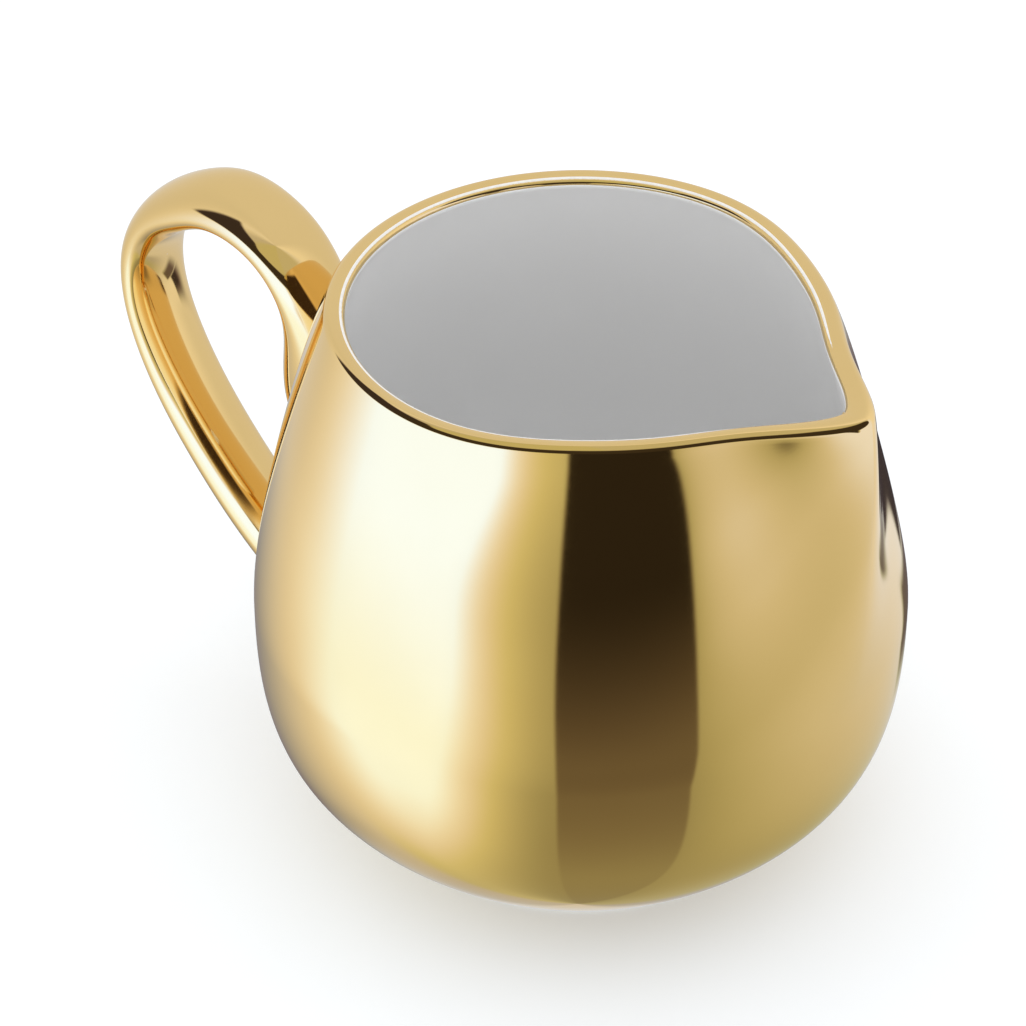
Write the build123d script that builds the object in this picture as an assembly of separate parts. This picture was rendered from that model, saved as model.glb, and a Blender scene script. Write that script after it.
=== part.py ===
from build123d import *
import math
import os

# Gold-plated porcelain milk pitcher.
# Millimetres.  +Z up, +X towards the spout, handle on -X, symmetric about the XZ plane.
# The origin is the centre of the foot, on the surface that the pitcher stands on.

# ---- driving dimensions --------------------------------------------------------------------

HEIGHT = 85.9            # surface to the crest of the rim
FOOT_RADIUS = 27.2       # where the pot meets the surface
BELLY_RADIUS = 47.0      # widest circle of the pot
BELLY_HEIGHT = 36.8      # height of the widest circle
NECK_RADIUS = 36.3       # mean outer radius at the rim

FOOT_ANGLE = 37.0        # degrees above horizontal at which the wall leaves the foot
RIM_ANGLE = 62.5         # degrees above horizontal at which the shoulder reaches the rim
FOOT_PULL = 20.8         # lengths of the curve handles that shape the pot's side
BELLY_PULL_DOWN = 20.0
BELLY_PULL_UP = 13.0
RIM_PULL = 6.0

BACK_RADIUS = 35.7       # outer radius of the mouth at its sides and back
LIP_REACH = 9.7          # how far the spout runs out beyond the back radius
LIP_WIDTH = 15.5         # degrees, half-width of the spout
LIP_POWER = 1.72         # 1 is a sharp edge, 2 a round one
BEAK_REACH = 1.6         # extra wall that sharpens the spout's outside to a beak
BEAK_WIDTH = 7.7         # degrees, half-width of the beak
BEAK_POWER = 1.49
PINCH_DEPTH = 1.7        # how far the mouth is squeezed in on both sides of the spout
PINCH_ANGLE = 55.0       # degrees from the spout to the middle of the pinch
PINCH_WIDTH = 26.0       # degrees, half-width of the pinch
PINCH_DROP = 1.3         # how much further down the shoulder the pinch reaches than the lip
SPOUT_SOFTNESS = 0.10    # share of the shoulder over which the spout fades in at the belly

WALL = 2.2               # porcelain wall
GLAZE = 0.2              # white glaze
PLATING = 0.2            # gold skin
CAVITY_FLOOR = 5.6       # height of the cavity's floor
CAVITY_CORNER = 9.0      # rounding between the cavity's floor and its wall
RIM_ROUNDING = 1.4       # outer edge of the rim
INNER_ROUNDING = 0.4     # inner edge of the porcelain under the glaze
PLATED_RIM = 2.0         # how far in from the outside the gold covers the crest

BARE_FOOT = 0.8          # height of the unplated band at the foot
RECESS_RADIUS = 22.6     # hollow under the foot
RECESS_DEPTH = 1.8

SLIP = 0.6               # clay slip that joins the handle to the pot

# The handle from its upper root, which tapers down into the wall, over the top and down to its
# lower root: distance from the pot's axis, height, half-thickness and half-width of the oval.
HANDLE = [
    (44.0, 39.0, 1.6, 4.2),
    (44.6, 45.0, 4.6, 4.8),
    (45.1, 51.0, 7.0, 5.3),
    (45.4, 57.0, 7.1, 5.8),
    (46.2, 64.2, 5.6, 6.2),
    (48.4, 70.6, 3.9, 6.6),
    (52.0, 75.4, 3.4, 6.8),
    (57.6, 78.7, 3.5, 6.9),
    (63.6, 79.4, 3.7, 7.1),
    (69.6, 77.2, 3.8, 7.1),
    (74.2, 73.9, 3.5, 6.9),
    (77.2, 69.0, 3.1, 6.7),
    (78.2, 61.9, 2.7, 6.5),
    (75.4, 50.8, 2.8, 6.4),
    (65.3, 34.7, 3.2, 6.4),
    (54.9, 23.7, 3.6, 6.4),
    (47.6, 18.8, 3.9, 6.4),
    (38.0, 16.4, 4.0, 6.4),
]

# ---- resolution of the drawn curves ----------------------------------------------------------

GIRTH_STEPS = 16         # points round half of the pot, closer together at the spout
HEIGHT_STEPS = 18        # sections up the pot, closer together at the foot

TOTAL_WALL = PLATING + WALL + GLAZE


# ---- the pot's shape --------------------------------------------------------------------------

def bezier(p0, p1, p2, p3, t):
    """Point at t on a cubic curve with these four control points."""
    s = 1 - t
    weights = (s**3, 3 * s * s * t, 3 * s * t * t, t**3)
    return tuple(sum(w * p[i] for w, p in zip(weights, (p0, p1, p2, p3))) for i in (0, 1))


def polar(length, degrees):
    return length * math.cos(math.radians(degrees)), length * math.sin(math.radians(degrees))


FOOT_OUT, FOOT_UP = polar(FOOT_PULL, FOOT_ANGLE)
RIM_OUT, RIM_DOWN = polar(RIM_PULL, RIM_ANGLE)
LOWER_SIDE = [
    (FOOT_RADIUS, 0),
    (FOOT_RADIUS + FOOT_OUT, FOOT_UP),
    (BELLY_RADIUS, BELLY_HEIGHT - BELLY_PULL_DOWN),
    (BELLY_RADIUS, BELLY_HEIGHT),
]
UPPER_SIDE = [
    (BELLY_RADIUS, BELLY_HEIGHT),
    (BELLY_RADIUS, BELLY_HEIGHT + BELLY_PULL_UP),
    (NECK_RADIUS + RIM_OUT, HEIGHT - RIM_DOWN),
    (NECK_RADIUS, HEIGHT),
]


def girth(height):
    """Radius of the round pot, before the spout is pulled, at this height."""
    side = LOWER_SIDE if height < BELLY_HEIGHT else UPPER_SIDE
    low, high = 0.0, 1.0
    for _ in range(40):
        middle = (low + high) / 2
        if bezier(*side, middle)[1] < height:
            low = middle
        else:
            high = middle
    return bezier(*side, low)[0]


def lip(degrees):
    """How far the mouth runs out at an angle from the spout."""
    return LIP_REACH * math.exp(-((abs(degrees) / LIP_WIDTH) ** LIP_POWER))


def beak(degrees):
    """How much further the spout's outside runs out than its inside."""
    return BEAK_REACH * math.exp(-((abs(degrees) / BEAK_WIDTH) ** BEAK_POWER))


def pinch(degrees):
    """How far the mouth is squeezed in beside the spout."""
    return PINCH_DEPTH * math.exp(-(((abs(degrees) - PINCH_ANGLE) / PINCH_WIDTH) ** 2))


def spout_share(height):
    """0 below the belly, growing to 1 at the rim."""
    climb = (height - BELLY_HEIGHT) / (HEIGHT - BELLY_HEIGHT)
    if climb <= 0:
        return 0.0
    full = math.hypot(1, SPOUT_SOFTNESS) - SPOUT_SOFTNESS
    return (math.hypot(climb, SPOUT_SOFTNESS) - SPOUT_SOFTNESS) / full


def pot_radius(degrees, height, beaked):
    """Radius of the pot's side, with the beak or without it."""
    share = spout_share(height)
    reach = BACK_RADIUS - NECK_RADIUS + lip(degrees)
    if beaked:
        reach += beak(degrees)
    squeeze = (1 + PINCH_DROP * (1 - share)) * pinch(degrees)
    return girth(height) + share * (reach - squeeze)


def inset_radius(degrees, height, inset, beaked):
    """Radius of the surface that lies inset below the pot's side."""
    step = 0.05
    low = min(height, HEIGHT - step)
    radius = pot_radius(degrees, height, beaked)
    rise = pot_radius(degrees, low + step, beaked) - pot_radius(degrees, low, beaked)
    swing = pot_radius(degrees + step, height, beaked) - radius
    lean = rise / step
    turn = swing / math.radians(step) / radius
    return radius - inset * math.sqrt(1 + lean * lean + turn * turn)


def pot_section(height, inset, beaked, rounding):
    """Closed horizontal outline of the pot, inset from its side and drawn in further where a
    corner is rounded."""
    half = [180 * (k / GIRTH_STEPS) ** 1.6 for k in range(GIRTH_STEPS + 1)]
    angles = half + [-a for a in reversed(half[1:-1])]
    radii = [inset_radius(a, height, inset, beaked) - rounding for a in angles]
    points = [Vector(*polar(radius, a), height) for radius, a in zip(radii, angles)]
    return Wire([Edge.make_spline(points, periodic=True)])


def pot_plug(inset, bottom, top, beaked=False, corner=0.0):
    """Solid that fills the pot's inset surface from one height to another.  A corner radius
    rounds it in towards its bottom face."""
    levels = [bottom + (top - bottom) * (k / HEIGHT_STEPS) ** 2 for k in range(HEIGHT_STEPS + 1)]
    sections = []
    for level in levels:
        below = max(0.0, bottom + corner - level)
        rounding = corner - math.sqrt(corner * corner - below * below)
        sections.append(pot_section(level, inset, beaked, rounding))
    return Solid.make_loft(sections)


# ---- the handle's shape -------------------------------------------------------------------------

def handle_solid(inset):
    """The handle with its ends running into the pot, inset below its outer surface."""
    centres = [Vector(-distance, 0, height) for distance, height, _, _ in HANDLE]
    befores = centres[:1] + centres[:-1]
    afters = centres[1:] + centres[-1:]
    sections = []
    for centre, before, after, (_, _, thick, wide) in zip(centres, befores, afters, HANDLE):
        plane = Plane(origin=centre, x_dir=(0, 1, 0), z_dir=after - before)
        sections.append(Wire([Edge.make_ellipse(wide - inset, thick - inset, plane)]))
    return Solid.make_loft(sections)


# ---- the pieces ---------------------------------------------------------------------------------

def top_face(shape):
    return shape.faces().sort_by(Axis.Z)[-1]


def only_solid(shape):
    """The single solid that a boolean left."""
    solids = shape.solids()
    if len(solids) != 1:
        raise ValueError(f"expected one solid, found {len(solids)}")
    return solids[0]


def slab(low, high):
    """Everything between two heights."""
    return Solid.make_cylinder(2 * BELLY_RADIUS, high - low, Plane((0, 0, low)))


def outer_form(inset, crest):
    """The filled pot, with its outer rim edge rounded."""
    form = pot_plug(inset, 0, crest, beaked=True)
    return form.fillet(RIM_ROUNDING - inset, top_face(form).edges())


def cavity(inset, floor, crest):
    """The filled hollow, with a rounded corner round its floor."""
    return pot_plug(inset, floor, crest, corner=CAVITY_CORNER)


def pot_body(fired_form, fired_cavity, recess):
    """Porcelain wall, floor and foot ring in one casting."""
    pot = only_solid(fired_form.cut(fired_cavity))
    pot = pot.fillet(INNER_ROUNDING, top_face(pot).inner_wires()[0].edges())
    return only_solid(pot.cut(recess))


def interior_glaze(fired_cavity, mouth_plug):
    """White lining, turned outwards over the rim up to the gold's edge."""
    turned_edge = mouth_plug.cut(slab(0, HEIGHT - PLATING))
    hollow = cavity(TOTAL_WALL, CAVITY_FLOOR, HEIGHT)
    return only_solid(fired_cavity.fuse(turned_edge).cut(hollow))


def foot_glaze():
    """White coat on the underside, inside the foot ring."""
    return Solid.make_cylinder(RECESS_RADIUS, GLAZE, Plane((0, 0, RECESS_DEPTH - GLAZE)))


def pot_gold(finished_form, fired_form, mouth_plug, handle_core):
    """Gold over the outside and the crest of the rim, with the handle's roots left open."""
    skin = finished_form.cut(fired_form).cut(mouth_plug).cut(slab(0, BARE_FOOT))
    return only_solid(skin.cut(handle_core))


def export(node, shape):
    """Writes one named sub-part."""
    shape.label = node
    export_step(shape, f"parts/{node}.step")


def main():
    os.makedirs("parts", exist_ok=True)

    # The pot's surfaces: finished and fired outside, fired inside, and the mouth that the gold
    # leaves white.
    finished_form = outer_form(0, HEIGHT)
    fired_form = outer_form(PLATING, HEIGHT - PLATING)
    fired_cavity = cavity(TOTAL_WALL - GLAZE, CAVITY_FLOOR - GLAZE, HEIGHT - PLATING)
    mouth_plug = pot_plug(PLATED_RIM, HEIGHT / 2, HEIGHT)
    recess = Solid.make_cylinder(RECESS_RADIUS, RECESS_DEPTH)

    # The handle and its core run into the pot; each piece is trimmed to what it meets.
    handle = handle_solid(0)
    core = handle_solid(PLATING)
    slip_plug = pot_plug(PLATING - SLIP, 0, HEIGHT - PLATING, beaked=True)
    slip_shell = slip_plug.cut(fired_form)
    lower_slip, upper_slip = core.intersect(slip_shell).solids().sort_by(Axis.Z)

    export("pot_body", pot_body(fired_form, fired_cavity, recess))
    export("interior_glaze", interior_glaze(fired_cavity, mouth_plug))
    export("foot_glaze", foot_glaze())
    export("pot_gold_plating", pot_gold(finished_form, fired_form, mouth_plug, core))
    export("handle_core", only_solid(core.cut(slip_plug)))
    export("upper_handle_slip", upper_slip)
    export("lower_handle_slip", lower_slip)
    export("handle_gold_plating", only_solid(handle.cut(core).cut(finished_form)))


main()
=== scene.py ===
import math

import bpy
import numpy as np
from mathutils import Matrix, Vector


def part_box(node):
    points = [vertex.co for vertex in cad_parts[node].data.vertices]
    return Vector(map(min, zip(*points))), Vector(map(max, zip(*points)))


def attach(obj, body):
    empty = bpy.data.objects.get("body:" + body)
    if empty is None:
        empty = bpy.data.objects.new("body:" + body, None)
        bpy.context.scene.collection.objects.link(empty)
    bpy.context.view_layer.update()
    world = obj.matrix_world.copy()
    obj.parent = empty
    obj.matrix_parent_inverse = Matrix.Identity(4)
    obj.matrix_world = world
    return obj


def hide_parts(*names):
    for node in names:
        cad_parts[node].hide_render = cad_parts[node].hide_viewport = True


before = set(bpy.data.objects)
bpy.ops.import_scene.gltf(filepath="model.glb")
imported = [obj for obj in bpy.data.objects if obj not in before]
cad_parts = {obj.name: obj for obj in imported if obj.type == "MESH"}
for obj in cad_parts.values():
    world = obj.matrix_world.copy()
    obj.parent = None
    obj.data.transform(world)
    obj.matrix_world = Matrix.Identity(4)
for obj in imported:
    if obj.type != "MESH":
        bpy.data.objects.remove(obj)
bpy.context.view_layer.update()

MM = 0.001


# ---- the pot's shape, in millimetres ---------------------------------------------------------

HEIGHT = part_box("pot_gold_plating")[1].z / MM
BELLY_RADIUS = 47.0
BELLY_HEIGHT = 36.8
FOOT_RADIUS = 27.2
NECK_RADIUS = 36.3
LOWER_SIDE = np.array([(FOOT_RADIUS, 0), (43.81, 12.52), (BELLY_RADIUS, 16.8),
                       (BELLY_RADIUS, BELLY_HEIGHT)])
UPPER_SIDE = np.array([(BELLY_RADIUS, BELLY_HEIGHT), (BELLY_RADIUS, 49.8),
                       (39.07, HEIGHT - 5.32), (NECK_RADIUS, HEIGHT)])

BACK_RADIUS = 35.7
LIP_REACH, LIP_WIDTH, LIP_POWER = 9.7, 15.5, 1.72
BEAK_REACH, BEAK_WIDTH, BEAK_POWER = 1.59, 7.7, 1.49
PINCH_DEPTH, PINCH_ANGLE, PINCH_WIDTH, PINCH_DROP = 1.7, 55.0, 26.0, 1.3
SPOUT_SOFTNESS = 0.10

WALL = 3.15                # thickness of the wall with its glaze and gold
RIM = 1.3                  # radius of the rim's rounded crest
SKIN = 0.15                # how far the hidden side of a skin lies behind its face
BARE_FOOT = 0.8            # the gold stops this far above the surface
GOLD_OVER_RIM = 145.0      # degrees of the rim's half-round that the gold covers, from outside
FLOOR_TOP = 5.6            # height of the cavity's floor
LINING_TURN = 17.0         # height where the lining leaves the wall and turns in to the floor
FLOOR_PULL = 0.55          # how far the turn runs on along the wall, by the height left
FLOOR_DROP = 1.2           # the turn drops this much faster than the wall
FLOOR_FLAT = 0.62          # the turn's far handle, as a share of its starting radius

COLUMNS = 400              # quads round the pot
WALL_ROWS = 150
RIM_ROWS = 28
FLOOR_ROWS = 60


def step(x, low, high):
    """Smooth step from 0 at low to 1 at high; low may be the larger."""
    t = np.clip((x - low) / (high - low), 0, 1)
    return t * t * (3 - 2 * t)


def cubic(points, t):
    """The place at t, or at each t in a column, on a cubic curve with four control points."""
    s = 1 - t
    return (s**3 * points[0] + 3 * s * s * t * points[1] + 3 * s * t * t * points[2]
            + t**3 * points[3])


SHARES = np.linspace(0, 1, 600)[:, None]
SIDE = np.vstack([cubic(LOWER_SIDE, SHARES), cubic(UPPER_SIDE, SHARES)[1:]])


def spout_share(height):
    """0 below the belly, growing to 1 at the rim."""
    climb = np.clip((height - BELLY_HEIGHT) / (HEIGHT - BELLY_HEIGHT), 0, None)
    full = math.hypot(1, SPOUT_SOFTNESS) - SPOUT_SOFTNESS
    return (np.hypot(climb, SPOUT_SOFTNESS) - SPOUT_SOFTNESS) / full


def pot_radius(degrees, height, beaked):
    """Radius of the pot's side.  The outside has a beak at the spout, the inside follows a
    rounder lip."""
    away = np.abs(degrees)
    lip = LIP_REACH * np.exp(-((away / LIP_WIDTH) ** LIP_POWER))
    beak = BEAK_REACH * np.exp(-((away / BEAK_WIDTH) ** BEAK_POWER)) if beaked else 0
    pinch = PINCH_DEPTH * np.exp(-(((away - PINCH_ANGLE) / PINCH_WIDTH) ** 2))
    share = spout_share(height)
    girth = np.interp(height, SIDE[:, 1], SIDE[:, 0])
    squeeze = (1 + PINCH_DROP * (1 - share)) * pinch
    return girth + share * (BACK_RADIUS - NECK_RADIUS + lip + beak - squeeze)


def wall_point(degrees, height, beaked):
    radius = pot_radius(degrees, height, beaked)
    turn = np.radians(degrees)
    return np.stack([radius * np.cos(turn), radius * np.sin(turn), height], axis=-1)


def unit(vectors):
    return vectors / np.linalg.norm(vectors, axis=-1, keepdims=True)


def wall_normal(degrees, height, beaked):
    """Outward normal of the pot's side."""
    nudge = 0.3
    ahead = wall_point(degrees + nudge, height, beaked)
    behind = wall_point(degrees - nudge, height, beaked)
    above = wall_point(degrees, height + nudge, beaked)
    below = wall_point(degrees, height - nudge, beaked)
    return unit(np.cross(ahead - behind, above - below))


def columns():
    """Angles round the pot, closer together at the spout."""
    crowding = 1.3
    half = 180 * (np.arange(COLUMNS // 2 + 1) / (COLUMNS // 2)) ** crowding
    return np.concatenate([half, -half[-2:0:-1]])


def wall_rows(around, beaked, depth):
    """Points and normals up the pot's side, to where the rim's half-round begins.  The
    half-round's centre is depth under the surface."""
    top = np.full_like(around, HEIGHT - RIM)
    for _ in range(6):     # each pass brings top closer to its place on the sloping side
        top = HEIGHT - RIM + depth * wall_normal(around, top, beaked)[:, 2]
    share = np.linspace(0, 1, WALL_ROWS)[:, None]
    levels = BARE_FOOT + (top[None, :] - BARE_FOOT) * share
    angles = np.broadcast_to(around, levels.shape)
    return wall_point(angles, levels, beaked), wall_normal(angles, levels, beaked)


def pot_rows():
    """The finished surface as rows of points: up the outside, over the rim, down the inside."""
    around = columns()
    outside, outer_normals = wall_rows(around, beaked=True, depth=RIM)
    round_side, inner_normals = wall_rows(around, beaked=False, depth=WALL - RIM)
    inside = round_side - WALL * inner_normals

    outer_centre = outside[-1] - RIM * outer_normals[-1]
    inner_centre = inside[-1] + RIM * inner_normals[-1]
    crest = []
    for turn in np.linspace(0, 180, RIM_ROWS + 1):
        inner = step(turn, 60, 120)
        normal = unit(outer_normals[-1] * (1 - inner) + inner_normals[-1] * inner)
        upward = unit(np.array([0, 0, 1.0]) - normal[:, 2:] * normal)
        centre = outer_centre * (1 - inner) + inner_centre * inner
        lift = math.radians(turn)
        crest.append(centre + RIM * (math.cos(lift) * normal + math.sin(lift) * upward))
    return around, outside, np.array(crest), inside[::-1]


def lining_floor(around, rim_of_floor, slope):
    """Rows that turn the wall in to the middle of the cavity's floor."""
    rows = []
    start = np.hypot(rim_of_floor[:, 0], rim_of_floor[:, 1])
    level = rim_of_floor[:, 2]
    turn = np.radians(around)
    for t in np.linspace(0, 1, FLOOR_ROWS + 1)[1:]:
        pull = FLOOR_PULL * (level - FLOOR_TOP)
        points = np.stack([
            np.stack([start, level], -1),
            np.stack([start - pull * slope[:, 0], level - pull * slope[:, 1] * FLOOR_DROP], -1),
            np.stack([start * FLOOR_FLAT, np.full_like(start, FLOOR_TOP)], -1),
            np.stack([np.zeros_like(start), np.full_like(start, FLOOR_TOP)], -1)])
        flat = cubic(points, t)
        rows.append(np.stack([flat[:, 0] * np.cos(turn), flat[:, 0] * np.sin(turn),
                              flat[:, 1]], -1))
    return np.array(rows)


# ---- mesh helpers ----------------------------------------------------------------------------

def grid_normals(rows):
    """Normals of a grid that is closed round its rows."""
    along = np.gradient(rows, axis=0)
    around = np.roll(rows, -1, axis=1) - np.roll(rows, 1, axis=1)
    cross = np.cross(around, along)
    size = np.linalg.norm(cross, axis=-1, keepdims=True)
    nothing = 1e-9
    return np.where(size > nothing, cross / np.maximum(size, nothing), 0)


def ring_mesh(name, rows, close_loop=False, low_pole=False, high_pole=False):
    """A quad mesh from rows of points in millimetres, each row a closed ring.  The first and
    last rows join up in a closed loop, or end in single points."""
    rows = [np.asarray(row) for row in rows]
    width = len(rows[0])
    vertices, starts = [], []
    for index, row in enumerate(rows):
        starts.append(len(vertices))
        pole = (index == 0 and low_pole) or (index == len(rows) - 1 and high_pole)
        vertices.extend([row.mean(axis=0)] if pole else list(row))
    faces = []
    last = len(rows) if close_loop else len(rows) - 1
    for index in range(last):
        a, b = starts[index], starts[(index + 1) % len(rows)]
        for k in range(width):
            n = (k + 1) % width
            if index == 0 and low_pole:
                faces.append((a, b + n, b + k))
            elif index == len(rows) - 2 and high_pole and not close_loop:
                faces.append((a + k, a + n, b))
            else:
                faces.append((a + k, a + n, b + n, b + k))
    mesh = bpy.data.meshes.new(name)
    mesh.from_pydata([tuple(p * MM) for p in vertices], [], faces)
    mesh.validate()
    mesh.shade_smooth()
    piece = bpy.data.objects.new(name, mesh)
    bpy.context.scene.collection.objects.link(piece)
    return piece


def dress(piece, material, slot, *replaced):
    """Gives a piece its material, its body and the CAD nodes it stands for; the slot is not
    used.
    """
    piece.data.materials.clear()
    piece.data.materials.append(material)
    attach(piece, "root")
    if replaced:
        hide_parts(*replaced)


# ---- materials -------------------------------------------------------------------------------

class Nodes:
    """A material's node tree, with short ways to add to it."""

    def __init__(self, name):
        self.material = bpy.data.materials.new(name)
        self.material.use_nodes = True
        self.tree = self.material.node_tree
        self.shader = self.tree.nodes["Principled BSDF"]

    def add(self, kind, **settings):
        node = self.tree.nodes.new(kind)
        for key, value in settings.items():
            if key in node.inputs:
                node.inputs[key].default_value = value
            else:
                setattr(node, key, value)
        return node

    def link(self, source, target):
        self.tree.links.new(source, target)

    def noise(self, scale, detail=2.0, roughness=0.5):
        where = self.add("ShaderNodeTexCoord")
        noise = self.add("ShaderNodeTexNoise", Scale=scale, Detail=detail, Roughness=roughness)
        self.link(where.outputs["Object"], noise.inputs["Vector"])
        return noise

    def ramp(self, source, stops):
        ramp = self.add("ShaderNodeValToRGB")
        elements = ramp.color_ramp.elements
        while len(elements) < len(stops):
            elements.new(0.5)
        for element, (position, colour) in zip(elements, stops):
            element.position = position
            element.color = (*colour, 1)
        self.link(source, ramp.inputs["Fac"])
        return ramp.outputs["Color"]

    def bump(self, source, strength, distance):
        bump = self.add("ShaderNodeBump", Strength=strength, Distance=distance)
        self.link(source, bump.inputs["Height"])
        self.link(bump.outputs["Normal"], self.shader.inputs["Normal"])


def gold():
    """Mirror-bright gold plating with a very slight wave and a faint haze."""
    m = Nodes("mirror_gold")
    m.shader.inputs["Metallic"].default_value = 1.0
    tone = m.noise(45, detail=3)
    colour = m.ramp(tone.outputs["Fac"],
                    [(0.35, (0.90, 0.645, 0.275)), (0.65, (0.92, 0.665, 0.29))])
    m.link(colour, m.shader.inputs["Base Color"])
    haze = m.noise(900, detail=2)
    spread = m.add("ShaderNodeMapRange")
    spread.inputs["To Min"].default_value = 0.045
    spread.inputs["To Max"].default_value = 0.075
    m.link(haze.outputs["Fac"], spread.inputs["Value"])
    m.link(spread.outputs["Result"], m.shader.inputs["Roughness"])
    wave = m.noise(70, detail=1)
    m.bump(wave.outputs["Fac"], 0.03, 0.0004)
    return m.material


def white_glaze():
    """Glossy white glaze with a soft orange-peel and a few dark pinholes."""
    m = Nodes("white_glaze")
    where = m.add("ShaderNodeTexCoord")
    cells = m.add("ShaderNodeTexVoronoi", Scale=70.0)
    m.link(where.outputs["Object"], cells.inputs["Vector"])
    size = m.ramp(cells.outputs["Distance"], [(0.018, (1, 1, 1)), (0.03, (0, 0, 0))])
    rare = m.ramp(cells.outputs["Color"], [(0.16, (1, 1, 1)), (0.17, (0, 0, 0))])
    speck = m.add("ShaderNodeMix", data_type="RGBA", blend_type="MULTIPLY")
    speck.inputs["Factor"].default_value = 1.0
    m.link(size, speck.inputs["A"])
    m.link(rare, speck.inputs["B"])
    colour = m.add("ShaderNodeMix", data_type="RGBA")
    colour.inputs["A"].default_value = (0.86, 0.86, 0.86, 1)
    colour.inputs["B"].default_value = (0.30, 0.28, 0.27, 1)
    m.link(speck.outputs["Result"], colour.inputs["Factor"])
    m.link(colour.outputs["Result"], m.shader.inputs["Base Color"])
    m.shader.inputs["Roughness"].default_value = 0.25
    m.shader.inputs["Specular IOR Level"].default_value = 0.35
    m.shader.inputs["IOR"].default_value = 1.5
    peel = m.noise(180, detail=1)
    m.bump(peel.outputs["Fac"], 0.05, 0.0005)
    return m.material


def biscuit():
    """Fired porcelain without glaze: pale, fine-grained and matt."""
    m = Nodes("biscuit_porcelain")
    grain = m.noise(1500, detail=4, roughness=0.7)
    colour = m.ramp(grain.outputs["Fac"], [(0.3, (0.72, 0.70, 0.66)), (0.7, (0.82, 0.80, 0.76))])
    m.link(colour, m.shader.inputs["Base Color"])
    m.shader.inputs["Roughness"].default_value = 0.7
    m.bump(grain.outputs["Fac"], 0.25, 0.0001)
    return m.material


# ---- the pieces ------------------------------------------------------------------------------

def make_pot(gold_material, glaze_material):
    around, outside, crest, inside = pot_rows()
    covered = int(round(RIM_ROWS * GOLD_OVER_RIM / 180))
    face = np.vstack([outside, crest[1:covered + 1]])
    back = face - SKIN * grid_normals(face)
    plating = ring_mesh("gold_pot", list(face) + list(back[::-1]), close_loop=True)
    dress(plating, gold_material, "gold_plating", "pot_gold_plating")

    wall_end = np.searchsorted(-inside[:, 0, 2], -LINING_TURN)
    wall = inside[:wall_end]
    slope = unit(np.stack([
        np.hypot(wall[-2, :, 0], wall[-2, :, 1]) - np.hypot(wall[-1, :, 0], wall[-1, :, 1]),
        wall[-2, :, 2] - wall[-1, :, 2]], -1))
    floor = lining_floor(around, wall[-1], slope)
    face = np.vstack([crest[covered:], wall[1:], floor])
    normals = grid_normals(face)
    back = face[:-1] - SKIN * normals[:-1]
    under = face[-1:] - np.array([0, 0, SKIN])
    rows = list(under) + list(back[::-1]) + list(face)
    lining = ring_mesh("glazed_lining", rows, low_pole=True, high_pole=True)
    dress(lining, glaze_material, "white_glaze", "interior_glaze")


# Places along the handle, from its upper root to its lower one.  Each is the distance behind
# the pot's axis, the height, half the handle's thickness and half its width.
HANDLE = np.array([
    (44.0, 39.0, 1.6, 4.2), (44.6, 45.0, 4.6, 4.8), (45.1, 51.0, 7.0, 5.3),
    (45.4, 57.0, 7.1, 5.8), (46.2, 64.2, 5.6, 6.2), (48.4, 70.6, 3.9, 6.6),
    (52.0, 75.4, 3.4, 6.8), (57.6, 78.7, 3.5, 6.9), (63.6, 79.4, 3.7, 7.1),
    (69.6, 77.2, 3.8, 7.1), (74.2, 73.9, 3.5, 6.9), (77.2, 69.0, 3.1, 6.7),
    (78.2, 61.9, 2.7, 6.5), (75.4, 50.8, 2.8, 6.4), (65.3, 34.7, 3.2, 6.4),
    (54.9, 23.7, 3.6, 6.4), (47.6, 18.8, 3.9, 6.4), (38.0, 16.4, 4.0, 6.4)])
TUCK = 0.1                 # the drawn handle lies this far inside the CAD one
HANDLE_ROWS = 260
HANDLE_COLUMNS = 72


def smooth_line(points, count):
    """A natural cubic spline through rows of numbers, spaced evenly by chord length."""
    chord = np.linalg.norm(np.diff(points[:, :2], axis=0), axis=1)
    knots = np.concatenate([[0], np.cumsum(chord)])
    n = len(points)
    system, right = np.eye(n), np.zeros_like(points)
    for i in range(1, n - 1):
        a, b = chord[i - 1], chord[i]
        system[i, i - 1:i + 2] = a, 2 * (a + b), b
        right[i] = 6 * ((points[i + 1] - points[i]) / b - (points[i] - points[i - 1]) / a)
    bend = np.linalg.solve(system, right)
    places = np.linspace(0, knots[-1], count)
    i = np.clip(np.searchsorted(knots, places) - 1, 0, n - 2)
    h = chord[i][:, None]
    p, q = (knots[i + 1] - places)[:, None], (places - knots[i])[:, None]
    return ((bend[i] * p**3 + bend[i + 1] * q**3) / (6 * h)
            + (points[i] / h - bend[i] * h / 6) * p
            + (points[i + 1] / h - bend[i + 1] * h / 6) * q)


def make_handle(gold_material):
    line = smooth_line(HANDLE, HANDLE_ROWS)
    centre = np.stack([-line[:, 0], np.zeros(len(line)), line[:, 1]], -1)
    along = unit(np.gradient(centre, axis=0))
    across = np.array([0, 1.0, 0])
    outward = np.cross(along, across)
    turn = np.linspace(0, 2 * math.pi, HANDLE_COLUMNS, endpoint=False)
    rows = (centre[:, None, :]
            + ((line[:, 2, None] - TUCK) * np.cos(turn))[..., None] * outward[:, None, :]
            + (line[:, 3, None] * np.sin(turn))[..., None] * across)
    # Where its ends enter the pot, the handle stops half way through the wall.
    reach = np.hypot(rows[..., 0], rows[..., 1])
    degrees = np.degrees(np.arctan2(rows[..., 1], rows[..., 0]))
    deepest = pot_radius(degrees, rows[..., 2], True) - RIM
    rows[..., :2] *= (np.maximum(reach, deepest) / reach)[..., None]
    handle = ring_mesh("gold_handle", rows, low_pole=True, high_pole=True)
    dress(handle, gold_material, "gold_plating", "handle_gold_plating")


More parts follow.
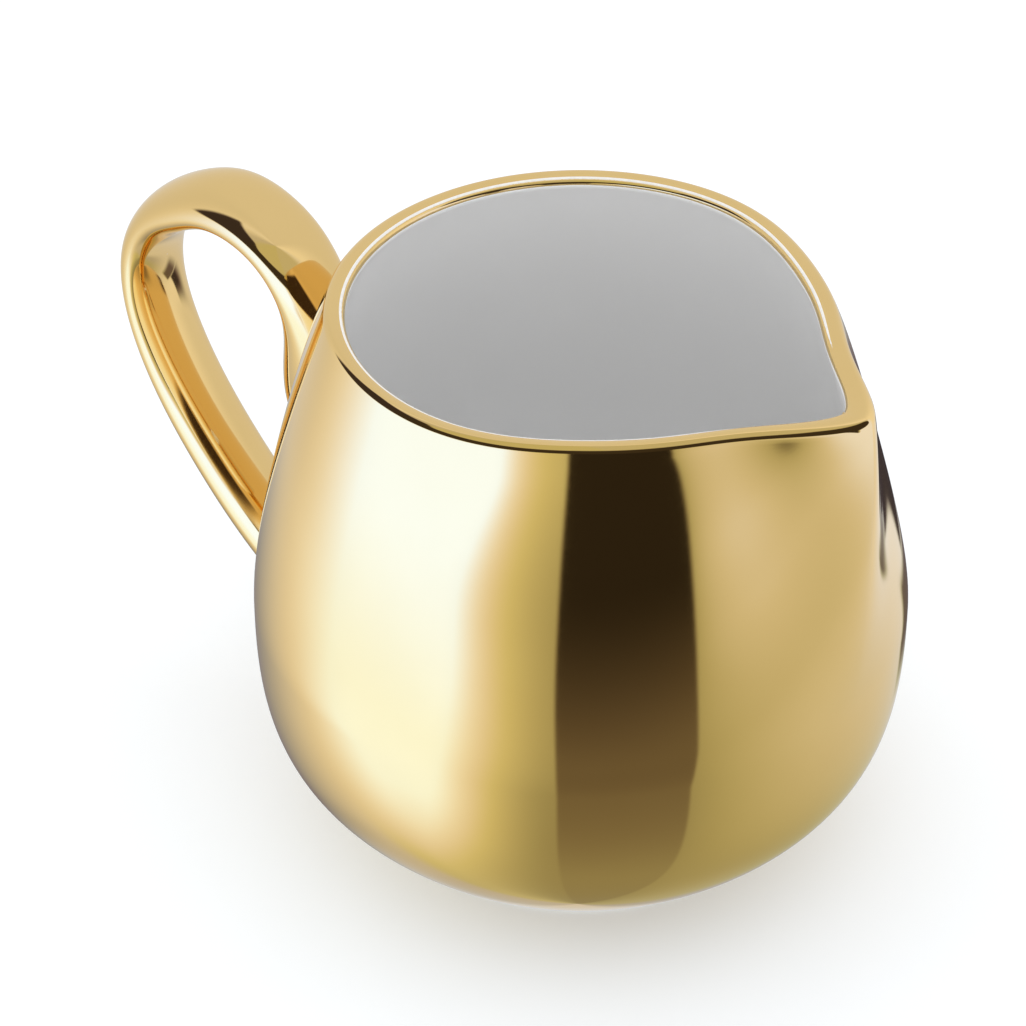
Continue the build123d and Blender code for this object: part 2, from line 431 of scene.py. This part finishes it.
gold_material = gold()
glaze_material = white_glaze()
biscuit_material = biscuit()
make_pot(gold_material, glaze_material)
make_handle(gold_material)
for node, material in (("pot_body", biscuit_material), ("handle_core", biscuit_material),
                       ("upper_handle_slip", biscuit_material),
                       ("lower_handle_slip", biscuit_material), ("foot_glaze", glaze_material)):
    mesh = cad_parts[node].data
    mesh.materials.clear()
    mesh.materials.append(material)


# ---- camera ----------------------------------------------------------------------------------

AZIMUTH, ELEVATION = math.radians(36.0), math.radians(36.06)
BACKWARD = Vector((math.sin(AZIMUTH) * math.cos(ELEVATION),
                   -math.cos(AZIMUTH) * math.cos(ELEVATION), math.sin(ELEVATION)))
RIGHT = Vector((math.cos(AZIMUTH), math.sin(AZIMUTH), 0))
CAMERA_DISTANCE = 0.700
LENS, SENSOR = 172.6, 36.0
AIM = -0.00976 * RIGHT + Vector((0, 0, 0.05051))


def make_camera():
    camera = bpy.data.cameras.new("camera")
    camera.sensor_width = SENSOR
    camera.lens = LENS
    camera.clip_start = 0.01
    holder = bpy.data.objects.new("camera", camera)
    bpy.context.scene.collection.objects.link(holder)
    turn = Matrix((RIGHT, BACKWARD.cross(RIGHT), BACKWARD)).transposed()
    holder.matrix_world = Matrix.Translation(AIM + CAMERA_DISTANCE * BACKWARD) @ turn.to_4x4()
    bpy.context.scene.camera = holder


make_camera()


# ---- studio ----------------------------------------------------------------------------------

def blend(base, other, share):
    return base * (1 - share) + other * share


def window(x, low, high, soft):
    """1 between low and high, 0 outside them, with soft edges."""
    return step(x, low - soft, low + soft) * step(x, high + soft, high - soft)


def left_light(side, rise):
    """A tall soft box on the left, fading round to the back."""
    near = 0.34 + 0.07 * step(rise, -35, 0) + 0.17 * step(rise, 10, 28)
    peak = 0.55 + 0.53 * step(rise, -75, -20)
    low = step(rise, 5, -25)
    start = -2 - 4 * low
    full = -26 - 13 * step(rise, 26, 8) - 7 * low - 10 * step(rise, -25, -55)
    light = near + (peak - near) * step(side, start, full)
    fade_start = -66 + 18 * step(rise, -18, -42)
    fade = (0.42 + 0.30 * step(rise, -3, -27)) * step(rise, -68, -48)
    return light * (1 - fade * step(side, fade_start, -145))


def right_light(side, rise, gap_right):
    """A weaker, wider reflector on the right, with a dark strip near its far end."""
    near = 0.36 + 0.08 * step(rise, -30, 5)
    peak = 0.48 + 0.45 * step(rise, -62, -12)
    spread = 15 - 9 * step(rise, 0, 16) + 31 * step(rise, 6, -12)
    away = np.clip(side - gap_right, 0, None)
    light = near + (peak - near) * (1 - np.exp(-away / spread))
    strip = step(side, 136, 139) * step(rise, -22.8, -21.2) * step(rise, 2, -8)
    light = blend(light, 0.05, strip)
    strip_foot = step(side, 127, 131) * step(rise, -37, -30) * step(rise, -21.5, -23.5)
    return blend(light, 0.14, strip_foot)


def studio_light(side, rise):
    """How bright the light tent's wall is.  side is degrees to the right of the camera and
    rise is degrees above the tent's centre."""
    gap_left = -7.0 + 2.9 * step(rise, 0, 30)
    gap_right = 30.4 - 9.8 * np.clip((rise + 10) / 40, 0, 1) ** 1.25
    light = np.where(side < 5, left_light(side, rise), right_light(side, rise, gap_right))

    # Straight behind the pot both sides fade into the same light.
    light = blend(light, 0.70, step(np.abs(side), 148, 170))

    # The dark gap in front, where the camera stands.
    gap_light = 0.026 + 0.13 * step(rise, 14, -10) + 0.15 * step(rise, -10, -55)
    light = blend(light, gap_light, window(side, gap_left, gap_right, 0.6))

    # An even wall behind and overhead, and a dark ceiling panel in front.
    light = blend(light, 0.75, step(np.abs(side), 105, 140) * step(rise, -14, 4))
    light = blend(light, 0.58, step(rise, 45, 60) * step(np.abs(side), 110, 80))
    panel_low = 37 - 20 * step(side, 38, 50)
    panel_high = 56 + 7 * step(side, -55, -70) + 4 * step(side, 28, 45)
    panel_right = 50 + 32 * step(rise, 30, 50)
    panel = (window(rise, panel_low, panel_high, 1.5)
             * step(side, -112, -106) * step(side, panel_right + 2, panel_right - 2))
    return blend(light, 0.045, panel)


def light_colour(light, side, rise):
    """Dim light is warm and the brightest is cool, as a photograph shows it."""
    cool = np.clip((light - 0.75) / 0.30, 0, 1) ** 2.5
    warm_left = step(light, 0.88, 0.66) * step(side, -80, -60)
    whiter = step(rise, -12, 15)
    blue_left = 1 - 0.34 * warm_left + (0.95 + 0.85 * whiter) * cool
    green_left = 1 + (0.29 + 0.11 * whiter) * cool
    cool_right = step(light, 0.68, 0.95) * step(side, 105, 85)
    warm_right = step(light, 0.80, 0.40) * step(side, 150, 120)
    blue_right = 1 - 0.34 * warm_right + 0.70 * cool_right
    green_right = 1 + 0.13 * cool_right
    dim = step(light, 0.40, 0.05)
    green = np.where(side < 5, green_left, green_right) * (1 - 0.22 * dim)
    blue = np.where(side < 5, blue_left, blue_right) * (1 - 0.12 * dim)
    return np.stack([light, light * green, light * blue, np.ones_like(light)], -1)


TENT_RADIUS = 125.0
TENT_CENTRE = np.array([0, 0, 30.0])


def make_studio():
    """A small round light tent that only reflections see, with the studio's light and dark."""
    across, tall = 720, 360
    turn = np.linspace(0, 2 * math.pi, across, endpoint=False)
    rows = []
    for lift in np.radians(np.linspace(-90, 90, tall + 1)):
        way = np.stack([math.cos(lift) * np.cos(turn), math.cos(lift) * np.sin(turn),
                        np.full_like(turn, math.sin(lift))], -1)
        rows.append(TENT_CENTRE + TENT_RADIUS * way)
    tent = ring_mesh("light_tent", rows, low_pole=True, high_pole=True)
    way = unit(np.array([vertex.co for vertex in tent.data.vertices]) / MM - TENT_CENTRE)
    toward = Vector((BACKWARD.x, BACKWARD.y, 0)).normalized()
    side = np.degrees(np.arctan2(way @ np.array(RIGHT), way @ np.array(toward)))
    rise = np.degrees(np.arcsin(np.clip(way[:, 2], -1, 1)))
    colours = light_colour(studio_light(side, rise), side, rise)
    attribute = tent.data.color_attributes.new("light", "FLOAT_COLOR", "POINT")
    attribute.data.foreach_set("color", colours.astype(np.float32).ravel())
    m = Nodes("tent_light")
    m.tree.nodes.remove(m.shader)
    source = m.add("ShaderNodeVertexColor", layer_name="light")
    glow = m.add("ShaderNodeEmission")
    m.link(source.outputs["Color"], glow.inputs["Color"])
    m.link(glow.outputs["Emission"], m.tree.nodes["Material Output"].inputs["Surface"])
    tent.data.materials.append(m.material)
    tent.visible_camera = False
    tent.visible_diffuse = False
    tent.visible_shadow = False
    tent.visible_transmission = False
    tent.visible_volume_scatter = False


def make_floor():
    """A white table that glows a little, so the shadow on it stays soft."""
    mesh = bpy.data.meshes.new("floor")
    half = 6.0
    mesh.from_pydata([(-half, -half, 0), (half, -half, 0), (half, half, 0), (-half, half, 0)],
                     [], [(0, 1, 2, 3)])
    floor = bpy.data.objects.new("floor", mesh)
    bpy.context.scene.collection.objects.link(floor)
    m = Nodes("white_table")
    m.shader.inputs["Base Color"].default_value = (0.66, 0.69, 0.72, 1)
    m.shader.inputs["Emission Color"].default_value = (1, 1, 1, 1)
    m.shader.inputs["Emission Strength"].default_value = 0.32
    m.shader.inputs["Roughness"].default_value = 0.9
    m.shader.inputs["Specular IOR Level"].default_value = 0.0
    mesh.materials.append(m.material)
    floor.visible_glossy = False


def make_world():
    """An even white light from all round, for all that isn't a mirror."""
    world = bpy.data.worlds.new("studio")
    world.use_nodes = True
    background = world.node_tree.nodes["Background"]
    background.inputs["Color"].default_value = (1, 1, 1, 1)
    background.inputs["Strength"].default_value = 1.2
    bpy.context.scene.world = world


make_studio()
make_floor()
make_world()
bpy.context.scene.view_settings.view_transform = "Standard"
